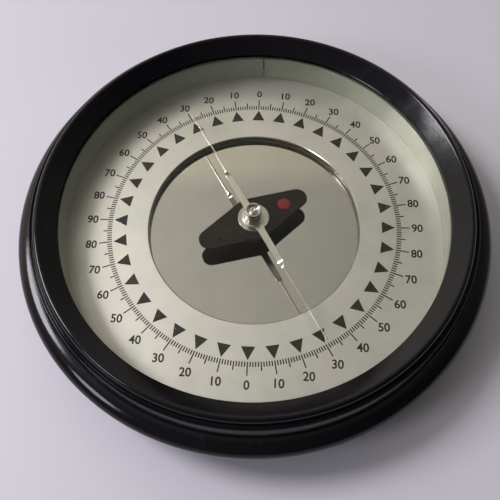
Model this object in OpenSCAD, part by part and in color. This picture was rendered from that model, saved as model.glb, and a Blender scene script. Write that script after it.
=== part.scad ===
// Laboratory compass box: a pivoted magnet with a long pointer over a
// silvered ring dial and a mirror, in a round moulded case with a glazed bezel.
// Millimetres. Origin at the middle of the underside, +Z up,
// +Y towards the zero mark at the far side of the dial.

/* [Case] */
// Widest diameter of the case, at its moulded edge
case_d = 145; // [138:1:180]
// Height of the widest edge above the table
edge_z = 14.4; // [12:0.2:16]
// Height of the straight band at the widest edge
edge_band = 0.8; // [0.4:0.1:1.6]
// How far the side draws in from the edge down to the foot
foot_draw = 3.8; // [1:0.1:6]
// Width of the rim that the case stands on
foot_rim = 2.6; // [2:0.1:5]
// Diameter of the shoulder that the bezel sits over
shoulder_d = 135.4; // [134.6:0.1:138]
// Thickness of the floor under the mirror
floor_t = 2.4; // [1.8:0.1:3]
// Number of moulded ribs under the case
rib_count = 9; // [3:3:15]
// Thickness of each rib
rib_t = 1.6; // [1:0.1:3]
// Outer radius of the screw bosses under the case
boss_r = 3.6; // [3:0.1:5]

/* [Base plate] */
// Thickness of the plate that closes the underside
plate_t = 0.8; // [0.5:0.1:1]
// How far the plate is set in from the table
plate_inset = 0.2; // [0.1:0.05:0.4]
// Number of base screws
screw_count = 3; // [3:1:6]
// Radius of the base screws' thread
screw_r = 1.25; // [1:0.05:1.5]
// Length of the base screws
screw_len = 4.2; // [3:0.1:4.6]

/* [Chamber] */
// Clear diameter of the needle chamber and of the glass that shows
view_d = 118.4; // [112:0.2:119]
// Height of the chamber wall, from the dial to the glass
wall_h = 9.5; // [9.3:0.1:12]
// Thickness of the rolled liner around the chamber
liner_t = 1.0; // [0.6:0.1:1.2]
// Width of the butt seam in the liner
seam_w = 0.5; // [0.2:0.1:1]
// Angle of the seam, clockwise from the zero mark
seam_turn = 1.2; // [-10:0.1:10]

/* [Glass and bezel] */
// Thickness of the cover glass
glass_t = 2.0; // [1.5:0.1:3]
// How far the bezel's lip covers the glass
glass_lap = 2.2; // [1.4:0.1:2.4]
// Thickness of the gasket on the glass
gasket_t = 0.3; // [0.2:0.05:0.6]
// Thickness of the bezel's lip at its edge
lip_t = 0.5; // [0.3:0.1:1]
// Height of the bezel's crest above the lip's underside
crest_h = 4.2; // [3:0.1:6]
// Radius of the crest's highest line
crest_r = 64.2; // [63:0.1:65]
// Thickness of the threaded spigot under the bezel
spigot_t = 1.7; // [1.2:0.1:1.8]
// Length of the spigot below the case's shoulder
spigot_len = 6.3; // [4:0.1:8]
// Clearance all round the spigot's thread
thread_gap = 0.15; // [0.05:0.05:0.3]
// Gap between the bezel and the case's shoulder
seat_gap = 0.2; // [0.1:0.05:0.4]

/* [Dial and mirror] */
// Diameter of the hole through the ring dial
dial_hole_d = 66.8; // [60:0.2:72]
// Thickness of the ring dial
dial_t = 2.0; // [1:0.1:2.5]
// Thickness of the shim between the dial and the mirror
shim_t = 0.5; // [0.3:0.1:1]
// Width of the shim
shim_w = 3.0; // [1.5:0.1:5]
// Thickness of the mirror
mirror_t = 2.0; // [1.5:0.1:3]
// Thickness of the felt under the mirror
felt_t = 0.5; // [0.3:0.1:1]
// Radius of the two dowels that stop the dial turning
dowel_r = 0.8; // [0.5:0.1:1.2]

/* [Pivot] */
// Radius of the pivot post's foot, in the mirror's hole
post_foot_r = 3.0; // [2.5:0.1:4]
// Radius of the pivot post
post_r = 1.1; // [1:0.05:1.2]
// Radius of the threaded end of the post, below the floor
stud_r = 1.5; // [1.2:0.1:2]
// Radius of the steel pivot pin
pin_r = 0.4; // [0.3:0.05:0.6]
// Space between the pin's tip and the jewel
pivot_gap = 0.05; // [0.02:0.01:0.08]

/* [Needle] */
// Turn of the needle at rest: the marked pole, counted from +X
needle_turn = 30; // [-180:1:180]
// Height of the magnet's underside above the dial
magnet_lift = 3.2; // [2.2:0.1:3.4]
// Length of the lozenge magnet
magnet_len = 37.4; // [30:0.2:44]
// Width of the magnet at its middle
magnet_w = 15.2; // [12:0.2:18]
// Radius of the magnet's rounded ends
magnet_end_r = 3.3; // [2:0.1:4]
// Thickness of the magnet
magnet_t = 0.6; // [0.4:0.1:1]
// Distance of the red mark from the pivot
mark_at = 10.8; // [9:0.1:12]
// Radius of the red mark
mark_r = 2.1; // [1:0.1:2.4]
// Thickness of the red mark
mark_t = 0.1; // [0.05:0.05:0.2]
// Length of the pointer, tip to tip
pointer_len = 90; // [70:1:110]
// Width of the pointer's strip beside the hub
strip_w = 2.4; // [2:0.1:3.4]
// Width of the strip where it is twisted on edge
blade_w = 1.9; // [1.4:0.1:2.4]
// Height of the blade at its tip
tip_w = 0.6; // [0.3:0.1:1]
// Thickness of the pointer's strip
strip_t = 0.4; // [0.3:0.05:0.6]
// Distance from the pivot to the start of the twist
twist_at = 16.2; // [12:0.1:20]
// Length of the quarter-turn twist
twist_len = 3.6; // [2:0.1:6]

/* [Hub] */
// Radius of the disc under the hub
disc_r = 4.9; // [4.6:0.1:7]
// Thickness of the disc
disc_t = 0.5; // [0.3:0.1:0.8]
// Radius of the hub's head
head_r = 2.55; // [2.4:0.05:2.9]
// Radius of the hub's waist
waist_r = 2.1; // [2:0.05:2.3]
// Radius of the hub's lowest ring
hub_foot_r = 3.2; // [3:0.05:3.6]
// Height of the hub above its disc
hub_h = 4.3; // [4.1:0.1:4.6]
// Radius of the hub's tail, through the pointer and the magnet
tail_r = 1.9; // [1.85:0.05:2.1]
// Radius of the bore inside the hub
hub_bore_r = 1.5; // [1.4:0.05:1.6]
// Radius of the ring riveted on under the magnet
collar_r = 3.0; // [2.6:0.1:4]
// Thickness of that ring
collar_t = 0.4; // [0.3:0.1:0.6]

/* [Hidden] */
$fn = 96;
eps = 0.1;
// Clearance of pieces that are laid or pressed into place
fit_gap = 0.2;
// Heights, from the table up
nut_space = 1.6;
plate_z = plate_inset;
floor_z = plate_z + plate_t + nut_space;
felt_z = floor_z + floor_t;
mirror_z = felt_z + felt_t;
shim_z = mirror_z + mirror_t;
dial_z = shim_z + shim_t;
dial_top = dial_z + dial_t;
glass_z = dial_top + wall_h;
gasket_z = glass_z + glass_t;
lip_z = gasket_z + gasket_t;
crest_z = lip_z + crest_h;
glass_proud = 0.2;
shoulder_z = glass_z - glass_proud;
spigot_z = shoulder_z - spigot_len;
// Radii, from the middle out
edge_r = case_d / 2;
foot_r = edge_r - foot_draw;
shoulder_r = shoulder_d / 2;
view_r = view_d / 2;
glass_r = view_r + glass_lap;
spigot_in = glass_r + fit_gap;
spigot_out = spigot_in + spigot_t;
bore_r = spigot_out + thread_gap;
dial_r = bore_r - fit_gap;
dial_hole_r = dial_hole_d / 2;
shim_in = dial_hole_r + fit_gap;
shim_out = shim_in + shim_w;
mirror_r = shim_out;
well_r = mirror_r + fit_gap;
plate_r = foot_r - foot_rim;
mirror_hole_r = post_foot_r + fit_gap;
// Base screws' countersunk heads and their slots
screw_head_r = screw_r + plate_t;
slot_w = 0.5;
slot_depth = 0.4;
hole_spare = 0.4;
// Underside: the ring-shaped pocket that the ribs cross
well_wall = 3;
nut_wall = 2;
bore_wall = 5;
pocket_roof = 2.4;
pocket_in = well_r + well_wall;
pocket_out = bore_r - bore_wall;
pocket_top = dial_z - pocket_roof;
nut_space_r = pocket_in - nut_wall;
boss_at = (pocket_in + pocket_out) / 2;
dowel_at = (well_r + bore_r) / 2;
dowel_down = 1.6;
dowel_up = 1;
// Pivot and nut
washer_t = 0.4;
washer_r = 3.4;
nut_t = 1.1;
nut_r = 2.9;
foot_proud = 0.5;
collar_gap = 0.3;
pin_depth = 3;
post_foot_top = shim_z + foot_proud;
post_top = dial_top + magnet_lift - collar_t - collar_gap;
pin_seat = post_top - pin_depth;
// Needle stack
magnet_z = dial_top + magnet_lift;
disc_z = magnet_z + magnet_t;
pointer_z = disc_z + disc_t;
hub_z = pointer_z + strip_t;
hub_top = hub_z + hub_h;
tail_z = magnet_z - collar_t;
eye_w = 1.6;
eye_r = tail_r + eye_w;
cup_h = 1.7;
cup_wall = 0.4;
cup_lip = 0.4;
hub_cap_t = 0.7;
cup_top = hub_top - hub_cap_t;
cup_z = cup_top - cup_h;
cup_in_r = hub_bore_r - cup_wall;
jewel_z = cup_z + cup_lip;
jewel_h = 0.9;
jewel_dish = 0.35;
dish_r = 0.75;
dish_tip_r = 0.12;
pin_tip = jewel_z + jewel_dish - pivot_gap;

// Points on an elliptical arc about c, from angle a0 to a1
function arc(c, rx, ry, a0, a1, n) =
    [for (i = [0 : n]) let (a = a0 + (a1 - a0) * i / n) [c[0] + rx * cos(a), c[1] + ry * sin(a)]];

module ring(r_in, r_out, h) {
    difference() {
        cylinder(r = r_out, h = h);
        translate([0, 0, -eps]) cylinder(r = r_in, h = h + 2 * eps);
    }
}

module around(count, r, start = 0) {
    for (i = [0 : count - 1]) rotate(start + i * 360 / count) translate([r, 0, 0]) children();
}

// ---- Case ----

module case_outside() {
    foot_break = 0.5;
    shoulder_rise = 0.6;
    shoulder_in = 0.4;
    skirt_foot = edge_z + edge_band;
    skirt_h = shoulder_z - shoulder_rise - skirt_foot;
    rotate_extrude()
        polygon(concat(
            [[0, 0], [foot_r - foot_break, 0], [foot_r, foot_break], [edge_r, edge_z]],
            arc([shoulder_r, skirt_foot], edge_r - shoulder_r, skirt_h, 0, 90, 8),
            [[shoulder_r - shoulder_in, shoulder_z], [0, shoulder_z]]));
}

module case_hollows() {
    // chamber, mirror well and the hole for the post
    translate([0, 0, dial_z]) cylinder(r = bore_r, h = shoulder_z);
    translate([0, 0, felt_z]) cylinder(r = well_r, h = shoulder_z);
    translate([0, 0, -eps]) cylinder(r = stud_r, h = shoulder_z);
    // seat of the base plate, and the space for the nut above it
    translate([0, 0, -eps]) cylinder(r = plate_r + fit_gap, h = plate_z + plate_t + eps);
    translate([0, 0, -eps]) cylinder(r = nut_space_r, h = floor_z + eps);
    around(2, dowel_at) translate([0, 0, dial_z - dowel_down]) cylinder(r = dowel_r, h = shoulder_z);
}

// The pocket that lightens the underside, less the ribs and bosses left standing in it
module case_pocket() {
    difference() {
        translate([0, 0, -eps]) ring(pocket_in, pocket_out, pocket_top + eps);
        around(rib_count, 0) translate([0, -rib_t / 2, -2 * eps]) cube([edge_r, rib_t, pocket_top + 1]);
        at_screws() translate([0, 0, -2 * eps]) cylinder(r = boss_r, h = pocket_top + 1);
    }
}

module at_screws() {
    around(screw_count, boss_at, 20) children();
}

module case_body() {
    color("#17151a")
        difference() {
            case_outside();
            case_hollows();
            case_pocket();
            at_screws()
                translate([0, 0, -eps])
                    cylinder(r = screw_r, h = plate_z + screw_len + hole_spare + eps);
        }
}

module base_plate() {
    color("#3a3330")
        translate([0, 0, plate_z])
            difference() {
                cylinder(r = plate_r, h = plate_t);
                at_screws() cylinder(r1 = screw_head_r, r2 = screw_r, h = plate_t);
            }
}

// Slotted countersunk screws, flush with the plate
module base_screws() {
    color("#b8a468")
        at_screws()
            translate([0, 0, plate_z])
                difference() {
                    union() {
                        cylinder(r1 = screw_head_r, r2 = screw_r, h = plate_t);
                        cylinder(r = screw_r, h = screw_len);
                    }
                    translate([-slot_w / 2, -edge_r, -eps]) cube([slot_w, case_d, slot_depth + eps]);
                }
}

// ---- Bezel and glass ----

// From the spigot up: the seat on the shoulder, an upright band that leans in,
// a finger groove, the rounded crest, and the cone down to the lip on the glass
module bezel_ring() {
    seat = shoulder_z + seat_gap;
    lead = 0.3;
    band_round = 0.5;
    band_h = 1.6;
    band_lean = 0.9;
    groove_in = 1.9;
    groove_down = 2.3;
    groove_lip = 0.2;
    crest_w = 1.2;
    crest_drop = 1.5;
    groove_r = crest_r + groove_in;
    groove_z = crest_z - groove_down;
    band_r = shoulder_r - band_lean;
    color("#1b181d")
        rotate_extrude()
            polygon(concat(
                [[spigot_in, spigot_z], [spigot_out - lead, spigot_z], [spigot_out, spigot_z + lead],
                 [spigot_out, seat], [shoulder_r - band_round, seat]],
                arc([shoulder_r - band_round, seat + band_round], band_round, band_round, -90, 0, 4),
                [[shoulder_r - eps, seat + band_h], [band_r, groove_z + groove_lip],
                 [band_r - groove_lip, groove_z + lead], [groove_r, groove_z - lead],
                 [groove_r - lead, groove_z + eps]],
                arc([crest_r, crest_z - crest_drop], crest_w, crest_drop, 0, 130, 10),
                [[view_r + lead, lip_z + lip_t], [view_r, lip_z + lip_t - lead], [view_r, lip_z],
                 [spigot_in, lip_z]]));
}

module glass_gasket() {
    color("#262626") translate([0, 0, gasket_z]) ring(view_r + 2 * fit_gap, glass_r, gasket_t);
}

module cover_glass() {
    color([0.85, 0.9, 0.9, 0.3]) translate([0, 0, glass_z]) cylinder(r = glass_r, h = glass_t);
}

module wall_liner() {
    color("#8f928c")
        difference() {
            translate([0, 0, dial_top]) ring(view_r, view_r + liner_t, wall_h);
            rotate(90 - seam_turn) translate([0, -seam_w / 2, 0]) cube([bore_r, seam_w, glass_z + eps]);
        }
}

// ---- Dial and mirror ----

module dial_ring() {
    color("#c4c1b6")
        difference() {
            translate([0, 0, dial_z]) ring(dial_hole_r, dial_r, dial_t);
            around(2, dowel_at) translate([0, 0, dial_z - eps]) cylinder(r = dowel_r, h = dowel_up + eps);
        }
}

module dial_dowels() {
    color("#b8a468")
        around(2, dowel_at)
            translate([0, 0, dial_z - dowel_down]) cylinder(r = dowel_r, h = dowel_down + dowel_up);
}

module dial_shim() {
    color("#4a453c") translate([0, 0, shim_z]) ring(shim_in, shim_out, shim_t);
}

module mirror_disc() {
    color("#a9a79c") translate([0, 0, mirror_z]) ring(mirror_hole_r, mirror_r, mirror_t);
}

module mirror_felt() {
    color("#3f4a3c") translate([0, 0, felt_z]) ring(mirror_hole_r, mirror_r, felt_t);
}

// ---- Pivot ----

module pivot_post() {
    color("#b8a468")
        difference() {
            union() {
                translate([0, 0, floor_z - washer_t - nut_t]) cylinder(r = stud_r, h = floor_t + washer_t + nut_t);
                translate([0, 0, felt_z]) cylinder(r = post_foot_r, h = post_foot_top - felt_z);
                translate([0, 0, felt_z]) cylinder(r = post_r, h = post_top - felt_z);
            }
            translate([0, 0, pin_seat]) cylinder(r = pin_r, h = post_top);
        }
}

module pivot_washer() {
    color("#b8a468") translate([0, 0, floor_z - washer_t]) ring(stud_r, washer_r, washer_t);
}

module pivot_nut() {
    color("#b8a468")
        translate([0, 0, floor_z - washer_t - nut_t])
            difference() {
                cylinder(r = nut_r, h = nut_t, $fn = 6);
                translate([0, 0, -eps]) cylinder(r = stud_r, h = nut_t + 2 * eps);
            }
}

module pivot_pin() {
    cone_h = 1.2;
    tip_r = 0.08;
    color("#c9ccd0")
        rotate_extrude()
            polygon([[0, pin_seat], [pin_r, pin_seat], [pin_r, pin_tip - cone_h],
                     [tip_r, pin_tip], [0, pin_tip]]);
}

// ---- Needle: everything that turns on the pin ----

module on_needle() {
    rotate(needle_turn) children();
}

module jewel_cup() {
    color("#b8a468")
        translate([0, 0, cup_z])
            difference() {
                cylinder(r = hub_bore_r, h = cup_top - cup_z);
                translate([0, 0, -eps]) cylinder(r = cup_in_r, h = cup_lip + jewel_h + eps);
            }
}

module jewel() {
    color("#7c2f2f")
        difference() {
            translate([0, 0, jewel_z]) cylinder(r = cup_in_r, h = jewel_h);
            translate([0, 0, jewel_z - eps]) cylinder(r1 = dish_r, r2 = dish_tip_r, h = jewel_dish + eps);
        }
}

// Turned from bar: two stepped rings, a waist, and a dished head with a dimpled boss in it
module hub() {
    edge = 0.1;
    step_h = 0.5;
    rim_w = 0.5;
    dish_depth = 0.3;
    boss_r = 0.95;
    dimple_r = 0.5;
    dimple_depth = 0.25;
    ring_r = (waist_r + hub_foot_r) / 2;
    step_z = hub_z + 2 * step_h;
    head_z = hub_z + hub_h * 0.5;
    dish_z = hub_top - dish_depth;
    boss_z = hub_top - edge;
    color("#c9c8c2")
        difference() {
            rotate_extrude()
                polygon([[0, tail_z], [tail_r, tail_z], [tail_r, hub_z], [hub_foot_r, hub_z],
                         [hub_foot_r, hub_z + step_h - edge], [hub_foot_r - edge, hub_z + step_h],
                         [ring_r, hub_z + step_h], [ring_r, step_z - edge], [ring_r - edge, step_z],
                         [waist_r, step_z], [waist_r, head_z - edge], [head_r - edge, head_z],
                         [head_r, head_z + edge], [head_r, hub_top - 2 * edge],
                         [head_r - 2 * edge, hub_top], [head_r - rim_w, hub_top],
                         [head_r - rim_w - edge, dish_z], [boss_r + edge, dish_z], [boss_r, boss_z],
                         [dimple_r, boss_z], [0, boss_z - dimple_depth]]);
            translate([0, 0, tail_z - eps]) cylinder(r = hub_bore_r, h = cup_top - tail_z + eps);
        }
}

module hub_disc() {
    color("#c9c8c2") translate([0, 0, disc_z]) ring(tail_r, disc_r, disc_t);
}

module hub_collar() {
    color("#c9c8c2") translate([0, 0, tail_z]) ring(tail_r, collar_r, collar_t);
}

// One arm of the pointer, along +X: a tapering flat strip, a quarter twist, a blade on edge
module pointer_arm() {
    half = pointer_len / 2;
    mid_z = pointer_z + strip_t / 2;
    blade_at = twist_at + twist_len;
    translate([0, 0, pointer_z])
        linear_extrude(strip_t)
            polygon([[eye_r - 1, -strip_w / 2], [twist_at + eps, -blade_w / 2],
                     [twist_at + eps, blade_w / 2], [eye_r - 1, strip_w / 2]]);
    translate([twist_at, 0, mid_z])
        rotate([90, 0, 90])
            linear_extrude(twist_len, twist = 90, slices = 10, $fn = 8)
                square([blade_w, strip_t], center = true);
    translate([0, strip_t / 2, mid_z])
        rotate([90, 0, 0])
            linear_extrude(strip_t)
                polygon([[blade_at - eps, -blade_w / 2], [half, -tip_w / 2],
                         [half, tip_w / 2], [blade_at - eps, blade_w / 2]]);
}

module pointer() {
    color("#d3d2cb")
        on_needle()
            difference() {
                union() {
                    for (turn = [90, -90]) rotate(turn) pointer_arm();
                    translate([0, 0, pointer_z]) cylinder(r = eye_r, h = strip_t);
                }
                translate([0, 0, pointer_z - eps]) cylinder(r = tail_r, h = strip_t + 2 * eps);
            }
}

module magnet() {
    end_x = magnet_len / 2 - magnet_end_r;
    half_w = magnet_w / 2;
    // angle at which the straight sides meet the rounded ends
    meet = atan2(end_x, half_w) + asin(magnet_end_r / norm([end_x, half_w]));
    color("#171616")
        on_needle()
            translate([0, 0, magnet_z])
                linear_extrude(magnet_t)
                    difference() {
                        polygon(concat(arc([end_x, 0], magnet_end_r, magnet_end_r, -meet, meet, 12), [[0, half_w]],
                                       arc([-end_x, 0], magnet_end_r, magnet_end_r, 180 - meet, 180 + meet, 12),
                                       [[0, -half_w]]));
                        circle(r = tail_r);
                    }
}

module north_mark() {
    color("#96283a")
        on_needle() translate([mark_at, 0, disc_z]) cylinder(r = mark_r, h = mark_t);
}

case_body();
base_plate();
base_screws();
bezel_ring();
glass_gasket();
cover_glass();
wall_liner();
dial_ring();
dial_dowels();
dial_shim();
mirror_disc();
mirror_felt();
pivot_post();
pivot_washer();
pivot_nut();
pivot_pin();
jewel_cup();
jewel();
hub();
hub_disc();
hub_collar();
pointer();
magnet();
north_mark();
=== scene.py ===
# %% [markdown]
# # A laboratory compass box
# The object is a pivoted magnet with a long pointer, over a ring dial and a mirror.
# It sits in a round moulded case, under a glass that a screwed bezel holds down.
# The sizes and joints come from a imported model, the frame. This lesson gives it its looks:
# turned and moulded shapes, printed marks, and one finish for each real material.

# %% Load the frame
import math

import bmesh
import bpy
from mathutils import Euler, Matrix, Vector


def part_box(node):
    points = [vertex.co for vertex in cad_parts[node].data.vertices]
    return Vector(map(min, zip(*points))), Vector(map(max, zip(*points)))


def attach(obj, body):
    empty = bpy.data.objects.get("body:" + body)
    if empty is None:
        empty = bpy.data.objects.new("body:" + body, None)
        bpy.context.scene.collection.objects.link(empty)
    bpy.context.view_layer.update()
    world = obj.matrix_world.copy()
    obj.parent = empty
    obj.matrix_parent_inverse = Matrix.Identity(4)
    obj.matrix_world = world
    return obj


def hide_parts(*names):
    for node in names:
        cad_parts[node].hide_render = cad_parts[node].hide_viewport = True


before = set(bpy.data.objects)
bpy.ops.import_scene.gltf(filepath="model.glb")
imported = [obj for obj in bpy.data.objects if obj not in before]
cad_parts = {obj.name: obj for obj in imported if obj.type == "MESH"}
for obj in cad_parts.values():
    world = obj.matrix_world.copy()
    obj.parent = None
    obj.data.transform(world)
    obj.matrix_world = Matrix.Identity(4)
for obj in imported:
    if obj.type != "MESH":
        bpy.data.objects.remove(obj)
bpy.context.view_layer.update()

MM = 0.001

# %% [markdown]
# ## Sizes
# Every height and radius that the frame already has is read from it, in millimetres.
# Round pieces stand on the Z axis, so the highest X of a box is the radius.

# %% Read the main sizes
def low(node):
    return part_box(node)[0].z / MM


def top(node):
    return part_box(node)[1].z / MM


def radius(node):
    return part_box(node)[1].x / MM


DIAL_TOP = top("dial_ring")
GLASS_LOW = low("cover_glass")
LIP_Z = top("glass_gasket")
CREST_Z = top("bezel_ring")
SHOULDER_Z = top("case_body")
LINER_T = 1.0
VIEW_R = radius("wall_liner") - LINER_T
DIAL_HOLE_R = 33.4
EDGE_R = radius("case_body")
SHOULDER_R = radius("bezel_ring")
print(f"dial at {DIAL_TOP:.1f}, glass at {GLASS_LOW:.1f}, crest at {CREST_Z:.1f}, edge {EDGE_R:.1f} mm")

# %% [markdown]
# ## Tools for materials
# Colours are written as the hex values a painter would pick on a screen. Shaders work in
# linear light, so one function converts them. A pattern's size is a real size in
# millimetres; its texture scale is one over that size in metres.

# %% Colour, scale and node helpers
def linear(hex_colour):
    parts = [int(hex_colour[i:i + 2], 16) / 255 for i in (1, 3, 5)]
    return [c / 12.92 if c <= 0.04045 else ((c + 0.055) / 1.055) ** 2.4 for c in parts] + [1.0]


def scale_of(size_mm):
    return 1 / (size_mm * MM)


def add(tree, kind, settings=None, inputs=None):
    """Add a node, set its settings, and set or link its inputs."""
    node = tree.nodes.new(kind)
    for key, value in (settings or {}).items():
        setattr(node, key, value)
    for key, value in (inputs or {}).items():
        if isinstance(value, bpy.types.NodeSocket):
            tree.links.new(value, node.inputs[key])
        else:
            node.inputs[key].default_value = value
    return node


# A Mix node keeps its colour sockets at these places
MIX_A, MIX_B, MIX_OUT = 6, 7, 2
print("white is", linear("#ffffff"))


# %% Start a finish
def start_finish(name, **fixed):
    """A new material: its tree, its Principled shader and its Object coordinates."""
    finish = bpy.data.materials.new(name)
    finish.use_nodes = True
    tree = finish.node_tree
    shader = tree.nodes["Principled BSDF"]
    for key, value in fixed.items():
        shader.inputs[key.replace("_", " ")].default_value = value
    place = add(tree, "ShaderNodeTexCoord").outputs["Object"]
    return finish, tree, shader, place


def noise(tree, place, size_mm, detail=3.0, stretch=(1, 1, 1)):
    """Cloudy noise with features of that size, drawn out along an axis by stretch."""
    moved = add(tree, "ShaderNodeMapping", None, {"Vector": place, "Scale": stretch})
    settings = {"noise_dimensions": "3D"}
    inputs = {"Vector": moved.outputs[0], "Scale": scale_of(size_mm), "Detail": detail}
    return add(tree, "ShaderNodeTexNoise", settings, inputs).outputs[0]


def spread(tree, value, low_in, high_in, low_out, high_out):
    """Stretch a value from one range to another."""
    inputs = {0: value, 1: low_in, 2: high_in, 3: low_out, 4: high_out}
    return add(tree, "ShaderNodeMapRange", None, inputs).outputs[0]


def blend_colours(tree, factor, first, second):
    """Two colours mixed by a factor; each is a hex text or a socket."""
    a, b = [linear(c) if isinstance(c, str) else c for c in (first, second)]
    mix = add(tree, "ShaderNodeMix", {"data_type": "RGBA"}, {0: factor, MIX_A: a, MIX_B: b})
    return mix.outputs[MIX_OUT]


def relief(tree, shader, height, depth_mm):
    """Bump of a real depth on a shader."""
    inputs = {"Height": height, "Distance": depth_mm * MM, "Strength": 1.0}
    bump = add(tree, "ShaderNodeBump", None, inputs)
    tree.links.new(bump.outputs[0], shader.inputs["Normal"])


def radius_of(tree, place):
    """Distance of the shaded point from the Z axis, in metres."""
    flat = add(tree, "ShaderNodeVectorMath", {"operation": "MULTIPLY"}, {0: place, 1: (1, 1, 0)})
    return add(tree, "ShaderNodeVectorMath", {"operation": "LENGTH"}, {0: flat.outputs[0]}).outputs["Value"]


print("material helpers ready")

# %% [markdown]
# ## Black phenolic
# The case and the bezel are pressed from phenolic resin in a polished steel mould. That
# leaves a deep black gloss with a faint orange peel, dull where hands and cloths have
# rubbed it, with dust caught in fine scratches. The IOR of phenolic is about 1.6.

# %% Moulded phenolic
def moulded_phenolic(name, dull):
    finish, tree, shader, place = start_finish(name, IOR=1.6, Specular_IOR_Level=0.2)
    clouds = noise(tree, place, 16, 4)
    black = blend_colours(tree, clouds, "#0b090c", "#131016")
    scratches = noise(tree, place, 0.9, 2, (1, 0.06, 1))
    marks = spread(tree, scratches, 0.66, 0.74, 0.0, 0.16)
    tree.links.new(blend_colours(tree, marks, black, "#3a363b"), shader.inputs["Base Color"])
    rubbed = noise(tree, place, 7, 5)
    tree.links.new(spread(tree, rubbed, 0.35, 0.7, dull, dull + 0.07), shader.inputs["Roughness"])
    relief(tree, shader, noise(tree, place, 1.4, 1), 0.006)
    return finish


CASE_BLACK = moulded_phenolic("moulded_phenolic_case", 0.1)
BEZEL_BLACK = moulded_phenolic("moulded_phenolic_bezel", 0.09)
print(CASE_BLACK.name, BEZEL_BLACK.name)

# %% [markdown]
# ## Silvered dial, liner and mirror
# The dial is a satin aluminium plate, lacquered, so it is a mix of metal and matt: its
# grain blurs what it mirrors. The bevel at its hole is turned bright, and the wall of the
# hole is painted dark olive as painted shade. The liner is a strip of rolled aluminium that has gone grey
# with oxide, with faint lines along the strip. The mirror is silvered plate glass, a little
# yellowed, with a few specks where the silver has gone.

# %% Satin dial plate
def satin_dial_plate():
    finish, tree, shader, place = start_finish("satin_aluminium_dial", Metallic=0.85)
    handled = noise(tree, place, 14, 4)
    smudges = spread(tree, handled, 0.42, 0.68, 0.0, 1.0)
    plate = blend_colours(tree, smudges, "#c8c6c1", "#babbb2")
    # Painted shade: the wall of the hole is painted dark olive. It is the only face within a few hundredths
    # of its radius
    shade_from_r, shade_to_r = DIAL_HOLE_R + 0.02, DIAL_HOLE_R + 0.08
    hole_wall_shade = spread(tree, radius_of(tree, place), shade_from_r * MM, shade_to_r * MM, 1.0, 0.0)
    tree.links.new(blend_colours(tree, hole_wall_shade, plate, "#5f5b48"), shader.inputs["Base Color"])
    bevel_out = DIAL_HOLE_R + 0.4
    turned = spread(tree, radius_of(tree, place), DIAL_HOLE_R * MM, bevel_out * MM, 0.0, 1.0)
    satin = spread(tree, handled, 0.3, 0.7, 0.3, 0.4)
    dull = add(tree, "ShaderNodeMath", {"operation": "MULTIPLY"}, {0: satin, 1: turned})
    never_glassy = add(tree, "ShaderNodeMath", {"operation": "MAXIMUM"}, {0: dull.outputs[0], 1: 0.16})
    tree.links.new(never_glassy.outputs[0], shader.inputs["Roughness"])
    relief(tree, shader, noise(tree, place, 0.3, 2), 0.004)
    return finish


# %% Rolled liner strip
def rolled_liner_strip():
    finish, tree, shader, place = start_finish("rolled_aluminium_liner", Metallic=0.4)
    drawn = noise(tree, place, 9, 4, (1, 1, 14))
    tree.links.new(blend_colours(tree, drawn, "#6d7064", "#858a7f"), shader.inputs["Base Color"])
    tree.links.new(spread(tree, drawn, 0.3, 0.7, 0.3, 0.44), shader.inputs["Roughness"])
    relief(tree, shader, drawn, 0.006)
    return finish


# %% Silvered mirror
def silvered_mirror():
    finish, tree, shader, place = start_finish("silvered_mirror_glass", Metallic=1.0)
    aged = noise(tree, place, 22, 3)
    silver = blend_colours(tree, aged, "#d1cfc9", "#c5c3bc")
    specks = noise(tree, place, 0.9, 1)
    gone = spread(tree, specks, 0.81, 0.84, 0.0, 0.7)
    tree.links.new(blend_colours(tree, gone, silver, "#4b493f"), shader.inputs["Base Color"])
    tree.links.new(spread(tree, aged, 0.3, 0.7, 0.01, 0.03), shader.inputs["Roughness"])
    return finish


DIAL_FINISH = satin_dial_plate()
LINER_FINISH = rolled_liner_strip()
MIRROR_FINISH = silvered_mirror()
print(DIAL_FINISH.name, LINER_FINISH.name, MIRROR_FINISH.name)

# %% [markdown]
# ## Clear glass
# A Principled shader with full transmission bends and mirrors light as plate glass does.
# Plate glass has an IOR of 1.52. Here it is lowered, because both faces mirror the room,
# and on the object that veil over the black parts is faint. The shadow of such a shader
# would be black, so a Light Path node swaps in a Transparent shader for shadow rays.

# %% Plate glass
def plate_glass():
    finish, tree, shader, place = start_finish("polished_plate_glass", IOR=1.22, Specular_IOR_Level=0.2,
                                                Transmission_Weight=1.0)
    dust = noise(tree, place, 5, 5)
    tree.links.new(blend_colours(tree, dust, "#fdfcfa", "#f5f4f0"), shader.inputs["Base Color"])
    tree.links.new(spread(tree, dust, 0.45, 0.75, 0.0, 0.02), shader.inputs["Roughness"])
    shadow = add(tree, "ShaderNodeLightPath").outputs["Is Shadow Ray"]
    clear = add(tree, "ShaderNodeBsdfTransparent", None, {"Color": linear("#f8f8f4")})
    both = add(tree, "ShaderNodeMixShader", None, {0: shadow, 1: shader.outputs[0], 2: clear.outputs[0]})
    tree.links.new(both.outputs[0], tree.nodes["Material Output"].inputs["Surface"])
    return finish


GLASS_FINISH = plate_glass()
print(GLASS_FINISH.name)

# %% [markdown]
# ## The needle's finishes
# The magnet is hardened steel, japanned black. The hub and its disc are turned and nickel
# plated, so their tool marks are rings. The pointer is drawn aluminium strip, bright, with
# lines along its length. The mark is a drop of red enamel.

# %% Japanned steel, nickel plate, drawn strip, enamel
def japanned_steel():
    finish, tree, shader, place = start_finish("japanned_magnet_steel", IOR=1.5, Specular_IOR_Level=0.22)
    clouds = noise(tree, place, 6, 4)
    tree.links.new(blend_colours(tree, clouds, "#100c09", "#1a1510"), shader.inputs["Base Color"])
    tree.links.new(spread(tree, clouds, 0.3, 0.7, 0.18, 0.3), shader.inputs["Roughness"])
    relief(tree, shader, noise(tree, place, 1.6, 2), 0.004)
    return finish


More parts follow.
